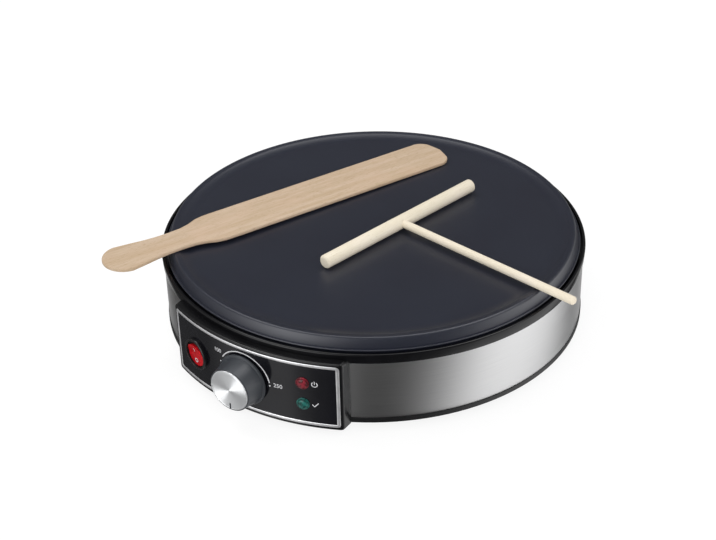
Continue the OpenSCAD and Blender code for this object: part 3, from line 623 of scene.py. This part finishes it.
def roundedLoop(halfWidth, low, high, corner):
    # points (x, z) round a rectangle with rounded corners, its straight sides divided for the panel's curve
    side, bottom, top, points = halfWidth - corner, low + corner, high - corner, []
    for x, z, start in ((side, bottom, -90), (side, top, 0), (-side, top, 90), (-side, bottom, 180)):
        arc = arcPoints((x, z), corner, start, start + 90, 6)
        x0, z0 = points[-1] if points else (-side, low)
        x1, z1 = arc[0]
        steps = 40 if abs(x0 - x1) > 1 else 8  # the long sides bend
        points += [(x0 + (x1 - x0) * i / steps, z0 + (z1 - z0) * i / steps) for i in range(1, steps)]
        points += arc
    return points


def makeTrim(shape):
    # a thin, slightly domed strip round the face: the loop is filled, inset step by step and emptied again
    low, high = boxOf("panel_trim")
    gap = shape["borderGap"]
    loop = roundedLoop(high.x - gap, low.z + gap, high.z - gap, shape["borderCorner"])
    piece = drawLine("silverBorder", [(x, -shape["frontRadius"], z) for x, z in loop + loop[:1]])
    bpy.ops.mesh.select_all(action="SELECT")
    bpy.ops.mesh.edge_face_add()
    bpy.ops.mesh.normals_make_consistent(inside=False)
    bpy.ops.object.mode_set(mode="OBJECT")
    if piece.data.polygons[0].normal.y > 0:
        piece.data.flip_normals()
    editAll(piece)
    for width, rise in shape["borderSteps"]:
        bpy.ops.mesh.inset(thickness=width * mm, depth=rise * mm)
    bpy.ops.mesh.delete(type="ONLY_FACE")
    bpy.ops.mesh.select_mode(type="EDGE")
    bpy.ops.mesh.select_all(action="DESELECT")
    bpy.ops.mesh.select_non_manifold()
    bpy.ops.mesh.bridge_edge_loops()
    closeEdit(1e-7)
    followCurve(piece)
    smoothShape(piece, 50)
    finishPiece(piece, foil, "base", "trim", "panel_trim")


makeHousing(panelShape)
makeFascia(panelShape)
makeTrim(panelShape)


# the printed scale and signs: angles count from the right, anticlockwise
printShape = {"scaleRadius": 22.3, "lineWidth": 0.85, "from": 149, "to": 9, "dotAngles": (162, 3),
              "dotRadius": 0.65, "numbers": (("100", -23.7, 15.4), ("250", 28.7, 2.6)), "numberHeight": 3.4,
              "numberWeight": 0.04, "inkThick": 0.05, "signX": 56.0, "signSize": 2.5, "signLine": 0.5,
              "signRing": 0.8, "signBar": (0.1, 1), "tick": ((-0.8, 0), (-0.2, -0.6), (0.9, 0.7)),
              "tickLine": 0.55}


def thicken(piece, depth):
    # gives flat lines a back, depth behind their front
    editAll(piece)
    bpy.ops.mesh.extrude_region_move(TRANSFORM_OT_translate={"value": (0, depth * mm, 0)})
    closeEdit(1e-7)


def layInk(piece):
    thicken(piece, printShape["inkThick"])
    followCurve(piece)
    finishPiece(piece, ink, "base", "fascia")


def flatRing(name, centre, radius, width, start, end, front, steps):
    # part of a flat ring facing the front; the spin runs against the angle's sign
    first = math.radians(start)
    line = [(centre[0] + r * math.cos(first), -front, centre[1] + r * math.sin(first))
            for r in (radius - width / 2, radius + width / 2)]
    piece = drawLine(name, line)
    bpy.ops.mesh.spin(steps=steps, angle=math.radians(start - end), axis=(0, -1, 0),
                      center=(centre[0] * mm, -front * mm, centre[1] * mm))
    closeEdit(1e-7)
    return piece


def flatStroke(name, points, width, front):
    # a stroke of straight parts through points (x, z) on the front
    strokes = []
    for (x0, z0), (x1, z1) in zip(points, points[1:]):
        deselectAll()
        bpy.ops.mesh.primitive_plane_add(size=mm)
        stroke = bpy.context.object
        stroke.scale = (math.hypot(x1 - x0, z1 - z0) + width * 0.6, width, 1)
        angle = math.degrees(math.atan2(z1 - z0, x1 - x0))
        placePiece(stroke, ((x0 + x1) / 2, -front, (z0 + z1) / 2), (90, -angle, 0))
        strokes.append(stroke)
    return joinPieces(name, strokes)


def flatNumber(name, text, spot, height):
    deselectAll()
    bpy.ops.object.text_add()
    piece = bpy.context.object
    piece.name = name
    piece.data.body = text
    piece.data.size = height * mm * 1.4  # digits stand at 0.7 of the font's size
    piece.data.align_x = "CENTER"
    piece.data.align_y = "CENTER"
    piece.data.offset = printShape["numberWeight"] * mm
    bpy.ops.object.convert(target="MESH")
    placePiece(piece, spot, (90, 0, 0))
    return piece


def printPanel(shape):
    front = panelShape["frontRadius"] + panelShape["inkRaise"]
    knobZ = joints["knob_turn"]["pos_m"][2] / mm
    reach, dot, line = shape["scaleRadius"], shape["dotRadius"], shape["signLine"]
    layInk(flatRing("printedArc", (0, knobZ), reach, shape["lineWidth"], shape["from"], shape["to"], front, 72))
    for i, angle in enumerate(shape["dotAngles"]):
        turn = math.radians(angle)
        centre = (reach * math.cos(turn), knobZ + reach * math.sin(turn))
        layInk(flatRing(f"printedDot{i + 1}", centre, dot / 2, dot, 0, 360, front, 16))
    for i, (text, x, z) in enumerate(shape["numbers"]):
        layInk(flatNumber(f"printedNumber{i + 1}", text, (x, -front, knobZ + z), shape["numberHeight"]))
    x, size = shape["signX"], shape["signSize"]
    powerZ, readyZ = [sum(corner.z for corner in boxOf(node)) / 2
                      for node in ("power_lamp_lens", "ready_lamp_lens")]
    ring = flatRing("powerSign", (x, powerZ), size * shape["signRing"], line, 125, 415, front, 32)
    bar = flatStroke("powerBar", [(x, powerZ + part * size) for part in shape["signBar"]], line, front)
    layInk(joinPieces("powerSign", [ring, bar]))
    layInk(flatStroke("readySign", [(x + across * size, readyZ + up * size) for across, up in shape["tick"]],
                      shape["tickLine"], front))


printPanel(printShape)
print("panel made")


switchShape = {"bezelRadius": 12.6, "bezelOut": 2.6, "lipRound": 1.1, "opening": 10.4, "openingRound": 0.4,
               "floor": 163, "panel": 173, "sunk": 0.3, "footIn": 0.2, "bodyRadius": 11, "back": 148}


def makeSwitch(shape, angle):
    # the switch's body with its round bezel on the panel
    height = joints["rocker_tilt"]["pos_m"][2] / mm
    panel, out = shape["panel"] - shape["sunk"], shape["panel"] + shape["bezelOut"]
    radius, lip, hole, edge = shape["bezelRadius"], shape["lipRound"], shape["opening"], shape["openingRound"]
    profile = [(0, shape["back"]), (shape["bodyRadius"], shape["back"]), (shape["bodyRadius"], panel),
               (radius - shape["footIn"], panel)]
    profile += arcPoints((radius - lip, out - lip), lip, 0, 90, 6)
    profile += arcPoints((hole + edge, out - edge), edge, 90, 180, 4)
    profile += [(hole, shape["floor"]), (0, shape["floor"]), (0, shape["back"])]
    body = spinShape("switchBezel", profile, "Y", height, 96)
    placePiece(body, turn=(0, 0, angle))
    smoothShape(body)
    finishPiece(body, switchNylon, "base", "switch", "switch_body")


rockerShape = {"radius": 9.4, "valley": 3.3, "valleyRound": 1, "tilt": 8, "depth": 4.5, "rootHeight": 0.55,
               "cuts": (-6, -3, -1, 0, 1, 3, 6), "edgeRound": 0.7, "offMark": -5, "onMark": (3.4, 6.4),
               "markRadius": 1.5, "markWidth": 0.5, "barWidth": 0.55, "markRaise": 0.05, "markDepth": 0.3}


def makeRocker(shape, angle):
    # a round button whose two faces meet in a rounded valley, with a mark at each end
    spot = Vector(joints["rocker_tilt"]["pos_m"]) / mm
    slope, soft, valley = math.tan(math.radians(shape["tilt"])), shape["valleyRound"], shape["valley"]

    def frontAt(z):
        return valley + (math.hypot(z, soft) - soft) * slope
    deselectAll()
    bpy.ops.mesh.primitive_cylinder_add(vertices=72, radius=shape["radius"] * mm, depth=8 * mm)  # shaped below
    rocker = bpy.context.object
    rocker.name = "rocker"
    placePiece(rocker, turn=(90, 0, 0))
    editAll(rocker)
    for height in shape["cuts"]:
        bpy.ops.mesh.select_all(action="SELECT")
        bpy.ops.mesh.bisect(plane_co=(0, 0, height * mm), plane_no=(0, 0, 1))
    bpy.ops.object.mode_set(mode="OBJECT")
    for vertex in rocker.data.vertices:
        if vertex.co.y < 0:
            vertex.co.y = -frontAt(vertex.co.z / mm) * mm
        else:
            vertex.co.y = shape["depth"] * mm
            vertex.co.z *= shape["rootHeight"]
    roundEdges(rocker, shape["edgeRound"], 4, 40)
    flat = valley + shape["markRaise"]
    marks = joinPieces("rockerMarks", [
        flatRing("offMark", (0, shape["offMark"]), shape["markRadius"], shape["markWidth"], 0, 360, flat, 24),
        flatStroke("onMark", [(0, z) for z in shape["onMark"]], shape["barWidth"], flat)])
    thicken(marks, shape["markDepth"])
    for vertex in marks.data.vertices:
        vertex.co.y -= (frontAt(vertex.co.z / mm) - valley) * mm
    for piece, material, node in ((rocker, rockerRed, ["switch_rocker"]), (marks, ink, [])):
        placePiece(piece, (0, -math.hypot(spot.x, spot.y), spot.z), (shape["tilt"], 0, 0))
        placePiece(piece, turn=(0, 0, angle))
        smoothShape(piece, 35)
        finishPiece(piece, material, "rocker", "rocker", *node)


lampShape = {"angle": 15.9, "panel": 173, "flange": 5.0, "flangeOut": 0.9, "flangeRound": 0.3,
             "domeRadius": 4.3, "domeOut": 2.9, "stem": 4.1, "back": 160, "facets": 10,
             "facetRows": ((0.93, 0.45), (0.66, 0.86)), "facetRound": 0.12, "sunk": 0.2}


def makeLamp(name, node, material, slot, shape):
    # a lens with a round flange and a low faceted jewel on it
    height = sum(corner.z for corner in boxOf(node)) / 2
    panel, back, stem, dome = shape["panel"], shape["back"], shape["stem"], shape["domeRadius"]
    edge, rise = panel + shape["flangeOut"], shape["domeOut"] - shape["flangeOut"]
    soft, foot = shape["flangeRound"], edge - shape["sunk"]
    profile = [(0, back), (stem, back), (stem, panel), (shape["flange"], panel)]
    profile += arcPoints((shape["flange"] - soft, edge - soft), soft, 0, 90, 3)
    profile += [(dome, edge), (0, edge), (0, back)]
    flange = spinShape(name + "Flange", profile, "Y", height, 48)
    smoothShape(flange)
    facets = [(dome, foot)] + [(dome * out, edge + rise * up) for out, up in shape["facetRows"]]
    facets += [(0, edge + rise), (0, foot), (dome, foot)]
    jewel = spinShape(name + "Jewel", facets, "Y", height, shape["facets"])
    roundEdges(jewel, shape["facetRound"], 2, 8)
    lens = joinPieces(name, [flange, jewel])
    placePiece(lens, turn=(0, 0, shape["angle"]))
    finishPiece(lens, material, "base", slot, node)


knobShape = {"steps": 144, "footRound": 0.6, "skirtRound": 0.7, "skirtHeight": 1.3, "gripIn": 1.4,
             "gripHeight": 2.2, "rimWidth": 0.9, "rimDrop": 0.3, "rimRound": 0.6, "capGap": 0.1, "capThick": 1,
             "capRound": 0.35, "capSunk": 0.02, "capGroove": 1.1, "grooveHalf": 0.2, "grooveDeep": 0.1,
             "notchFrom": 11.0, "notchWidth": 1.3}


def makeKnob(shape):
    # a knob with a flared skirt, a rim round its cap and the cap with its pointer's notch
    low, high = boxOf("knob_body")
    capLow, capHigh = boxOf("knob_cap")
    height, skirt, cap, back, face = (low.z + high.z) / 2, high.x, capHigh.x, -high.y, -capLow.y
    foot, soft, rim, drop = shape["footRound"], shape["skirtRound"], shape["rimRound"], shape["rimDrop"]
    wall, seat = cap + shape["capGap"], face - shape["capThick"]
    profile = [(0, back), (skirt - foot, back)] + arcPoints((skirt - foot, back + foot), foot, -90, 0, 3)
    profile += arcPoints((skirt - soft, back + shape["skirtHeight"]), soft, 0, 75, 4)
    profile += [(skirt - shape["gripIn"], back + shape["gripHeight"])]
    profile += arcPoints((cap + shape["rimWidth"] - rim, face - drop - rim), rim, 8, 90, 5)
    profile += [(wall, face - drop), (wall, seat), (0, seat), (0, back)]
    body = spinShape("knobBody", profile, "Y", height, shape["steps"])
    smoothShape(body)
    finishPiece(body, knobPlastic, "knob", "knob", "knob_body")
    flat, groove = face - shape["capSunk"], cap - shape["capGroove"]
    half, edge = shape["grooveHalf"], shape["capRound"]
    profile = [(0, seat), (cap, seat)] + arcPoints((cap - edge, face - edge), edge, 0, 90, 4)
    profile += [(groove + half, flat), (groove, flat - shape["grooveDeep"]), (groove - half, flat)]
    profile += [(groove * i / 8, flat) for i in range(7, -1, -1)] + [(0, seat)]
    disc = spinShape("knobCap", profile, "Y", height, shape["steps"])
    start, end = shape["notchFrom"], cap + 2  # the notch runs out past the cap's edge
    notch = addBlock("notch", (shape["notchWidth"], 4, end - start), (0, -face, height - (end + start) / 2))
    cutWith(disc, notch)
    smoothShape(disc, 25)
    finishPiece(disc, spun, "knob", "cap", "knob_cap")


pivot = joints["rocker_tilt"]["pos_m"]
switchAngle = math.degrees(math.atan2(pivot[0], -pivot[1]))
makeSwitch(switchShape, switchAngle)
makeRocker(rockerShape, switchAngle)
makeLamp("powerLens", "power_lamp_lens", lensRed, "lens_red", lampShape)
makeLamp("readyLens", "ready_lamp_lens", lensGreen, "lens_green", lampShape)
makeKnob(knobShape)
print("controls made")


# neckSteps and shoulderSteps are places along it, with how far the half width is over the neck's or under
# the blade's
spatulaShape = {"end": (-136.5, -161.8), "lift": 0.56, "length": 317, "blade": 41, "neck": 25.6,
                "handleEnd": 36, "thick": 3.2, "tip": 12, "tipIn": 2, "edgeRound": 1.1, "gap": 0.25,
                "neckSteps": ((30, 3), (39, 1.4), (48, 0.4), (60, 0), (72, 0.6), (80, 2.6)),
                "shoulderSteps": ((88, 1.6), (95, 0.2), (103, 0))}


def spatulaOutline(shape):
    # half outline along +X: round handle end, neck, shoulders, straight blade, blunt round tip
    neck, blade, tip = shape["neck"] / 2, shape["blade"] / 2, shape["tip"]
    half = arcPoints((shape["handleEnd"] / 2, 0), shape["handleEnd"] / 2, 180, 96, 16)
    half += [(along, neck + more) for along, more in shape["neckSteps"]]
    half += [(along, blade - less) for along, less in shape["shoulderSteps"]]
    half += arcPoints((shape["length"] - tip - shape["tipIn"], blade - tip), tip, 90, 20, 10)
    return half + [(shape["length"], 0)] + [(x, -y) for x, y in half[:0:-1]] + [half[0]]


def makeSpatula(shape):
    piece = drawLine("spatula", [(x, y, 0) for x, y in spatulaOutline(shape)])
    bpy.ops.mesh.edge_face_add()
    bpy.ops.mesh.extrude_region_move(TRANSFORM_OT_translate={"value": (0, 0, shape["thick"] * mm)})
    closeEdit()
    roundEdges(piece, shape["edgeRound"], 5, 50)
    rise = surfaceZ + shape["gap"] + shape["length"] * math.sin(math.radians(shape["lift"]))
    placePiece(piece, (*shape["end"], rise), (0, shape["lift"], toolAngles["spatula"]))
    smoothShape(piece)
    finishPiece(piece, beech, "spatula", "beech", "spatula")


spreaderShape = {"centre": (21.1, 7.2), "barRadius": 5.4, "barLength": 164, "handleRadius": 3.25,
                 "handleLength": 169, "handleRoot": 3.2, "handleLift": 0.15, "chamfer": 1.2, "gap": 0.35}


def makeSpreader(shape):
    # a round bar and a round handle set into its middle
    radius, half, cut = shape["barRadius"], shape["barLength"] / 2, shape["chamfer"]
    spot = (*shape["centre"], surfaceZ + radius + shape["gap"])

    def turnedEnd(reach, r):
        # chamfer with softened edges, from the axis outwards
        return [(0, reach), (r - cut - 0.3, reach), (r - cut, reach - 0.12), (r - 0.15, reach - cut + 0.1),
                (r, reach - cut - 0.4)]
    lowEnd = [(r, -along) for r, along in turnedEnd(half, radius)]
    bar = spinShape("spreaderBar", lowEnd + turnedEnd(half, radius)[::-1] + [(0, -half)], "X", 0, 64)
    root = -shape["handleRoot"]
    profile = [(0, root), (shape["handleRadius"], root)]
    profile += turnedEnd(shape["handleLength"], shape["handleRadius"])[::-1] + [(0, root)]
    handle = spinShape("spreaderHandle", profile, "X", 0, 48)
    for piece, turn, material, node in (
            (bar, (0, 0, toolAngles["bar"]), barBirch, "spreader_bar"),
            (handle, (0, -shape["handleLift"], toolAngles["handle"]), handleBirch, "spreader_handle")):
        placePiece(piece, spot, turn)
        smoothShape(piece)
        finishPiece(piece, material, "spreader", "pale_wood", node)


makeSpatula(spatulaShape)
makeSpreader(spreaderShape)
print("wooden tools made")


# the studio: the floor as the camera sees it, the plain light of the air, and the surround
studio = {"floorSize": 14, "floorTone": "e6e6e6", "paperLow": 0.985, "paperScale": 3.0, "seenBase": 0.86,
          "seenShade": 0.25, "ambient": 0.62}

# how bright the studio is as shiny surfaces see it: a row for each elevation, of degrees round from the
# camera (right is positive) with their level
surround = (
    (-20, ((-180, 0.85), (-165, 0.8), (-153, 0.45), (-140, 0.04), (-128, 0.08), (-116, 0.12), (-100, 0.16),
           (-75, 0.62), (-47, 0.8), (-38, 0.42), (-30, 0.2), (-18, 0.05), (0, 0.07), (13, 0.1), (26, 0.2),
           (37, 0.41), (49, 0.84), (62, 1.3), (75, 1.37), (91, 1.33), (108, 1.12), (125, 0.38), (140, 0.02),
           (153, 0.5), (165, 0.8), (180, 0.85))),
    (2, ((-180, 0.12), (-150, 0.15), (-120, 0.2), (-80, 0.7), (-62, 2.5), (-44, 4.2), (-29, 2.6), (-19, 1.0),
         (-12, 0.3), (-4, 0.1), (20, 0.05), (42, 0.3), (64, 1.8), (80, 3.1), (95, 3.1), (124, 1.3), (145, 0.1),
         (155, 0.12), (180, 0.12))),
    (30, ((-180, 0.15), (-150, 0.15), (-80, 0.5), (-62, 2.2), (-44, 3.8), (-29, 2.6), (-12, 0.6), (4, 0.1),
          (42, 0.25), (90, 1.3), (130, 0.3), (150, 0.2), (180, 0.15))),
    (46, ((-180, 0.05), (-130, 0.3), (-90, 0.4), (-40, 0.3), (0, 0.05), (90, 0.4), (130, 0.3), (180, 0.05))),
    (60, ((-180, 0.1), (-160, 0.4), (-130, 6.0), (-95, 3.4), (-60, 0.3), (0, 0.1), (60, 0.3), (95, 3.4),
          (130, 6.0), (160, 0.4), (180, 0.1))),
    (76, ((-180, 2.0), (-130, 4.4), (-60, 0.6), (0, 0.6), (60, 0.6), (130, 4.4), (180, 2.0))))


def surroundLevel(tree, direction):
    # level of the surround in a direction: each row's own ramp, mixed by elevation from row to row
    apart = addNode(tree, "SeparateXYZ", {"Vector": direction})
    angle = addNode(tree, "Math", {0: apart.outputs["Y"], 1: apart.outputs["X"]}, operation="ARCTAN2")
    turned = addNode(tree, "Math", {0: angle, 1: math.radians(90 - photoCamera["azimuth"])}, operation="ADD")
    around = addNode(tree, "Math", {0: turned, 1: math.pi, 2: -math.pi}, operation="WRAP")
    along = addNode(tree, "MapRange", {"Value": around, "From Min": -math.pi, "From Max": math.pi})
    up = addNode(tree, "Math", {0: apart.outputs["Z"]}, operation="ARCSINE")
    level = last = None
    for elevation, stops in surround:
        ramp = addNode(tree, "ValToRGB", {"Fac": along})
        ramp.color_ramp.interpolation = "EASE"
        elements = ramp.color_ramp.elements
        while len(elements) < len(stops):
            elements.new(0.5)
        for element, (degrees, brightness) in zip(elements, stops):
            element.position = degrees / 360 + 0.5
            element.color = [brightness] * 3 + [1]
        if last is not None:
            share = addNode(tree, "MapRange", {
                "Value": up, "From Min": math.radians(last), "From Max": math.radians(elevation)},
                interpolation_type="SMOOTHSTEP")
            level = addNode(tree, "Mix", {"Factor": share, "A": level, "B": ramp}, data_type="FLOAT")
        else:
            level = ramp
        last = elevation
    return level


def addFloor(settings):
    deselectAll()
    bpy.ops.mesh.primitive_plane_add(size=settings["floorSize"])
    floor = bpy.context.object
    floor.name = "studioFloor"
    # paper sweep: near white where the camera sees it, with a soft shade; shiny surfaces look through it
    material, tree, place = startMaterial("paperSweep")
    tone = addNode(tree, "TexNoise", {"Vector": place, "Scale": settings["paperScale"]})
    paper = addNode(tree, "MapRange", {"Value": tone, "To Min": settings["paperLow"]})
    path = addNode(tree, "LightPath")
    seen = path.outputs["Is Camera Ray"]
    share = addNode(tree, "MapRange", {"Value": seen, "To Min": 1.0, "To Max": settings["seenShade"]})
    shade = addNode(tree, "VectorMath", {
        0: toLinear(settings["floorTone"])[:3], "Scale": share}, operation="SCALE")
    diffuse = addNode(tree, "BsdfDiffuse", {"Color": shade})
    lift = addNode(tree, "Math", {0: seen, 1: settings["seenBase"]}, operation="MULTIPLY")
    glow = addNode(tree, "Emission", {"Color": paper, "Strength": lift})
    lit = addNode(tree, "AddShader", {0: diffuse, 1: glow})
    clear = addNode(tree, "BsdfTransparent")
    whole = addNode(tree, "MixShader", {0: path.outputs["Is Glossy Ray"], 1: lit, 2: clear})
    addNode(tree, "OutputMaterial", {"Surface": whole})
    floor.data.materials.append(material)


def addWorld(settings):
    # white to the camera, plain air to matt surfaces, the surround to shiny ones
    world = bpy.data.worlds.new("studioWorld")
    bpy.context.scene.world = world
    world.use_nodes = True
    tree = world.node_tree
    tree.nodes.clear()
    path = addNode(tree, "LightPath")
    level = surroundLevel(tree, addNode(tree, "TexCoord").outputs["Generated"])
    plain = addNode(tree, "Math", {
        0: path.outputs["Is Camera Ray"], 1: settings["ambient"]}, operation="MAXIMUM")
    mixed = addNode(tree, "Mix", {
        "Factor": path.outputs["Is Glossy Ray"], "A": plain, "B": level}, data_type="FLOAT")
    air = addNode(tree, "Background", {"Color": (1, 1, 1, 1), "Strength": mixed})
    addNode(tree, "OutputWorld", {"Surface": air})


# each lamp: degrees round from the camera, elevation, distance, width, height, power
softboxes = {"keyLight": (-125, 55, 1.6, 0.7, 0.7, 7.0), "fillLight": (60, 40, 1.8, 1.4, 1.0, 5.0),
             "frontLight": (-5, 26, 1.8, 1.2, 0.9, 10.0)}


def addSoftboxes(boxes):
    # they light without showing in shiny surfaces, which see the surround
    for name, (around, up, distance, width, height, power) in boxes.items():
        light = bpy.data.lights.new(name, "AREA")
        light.shape = "RECTANGLE"
        light.size, light.size_y = width, height
        light.energy = power
        lamp = bpy.data.objects.new(name, light)
        lamp.visible_glossy = False
        bpy.context.scene.collection.objects.link(lamp)
        aim = Matrix.Rotation(math.radians(photoCamera["azimuth"] + around), 4, "Z")
        aim = aim @ Matrix.Rotation(math.radians(90 - up), 4, "X")
        lamp.matrix_world = Matrix.Translation(aim.to_3x3() @ Vector((0, 0, distance))) @ aim


addFloor(studio)
addWorld(studio)
addSoftboxes(softboxes)
bpy.context.scene.view_settings.view_transform = "Standard"
print("studio lit")
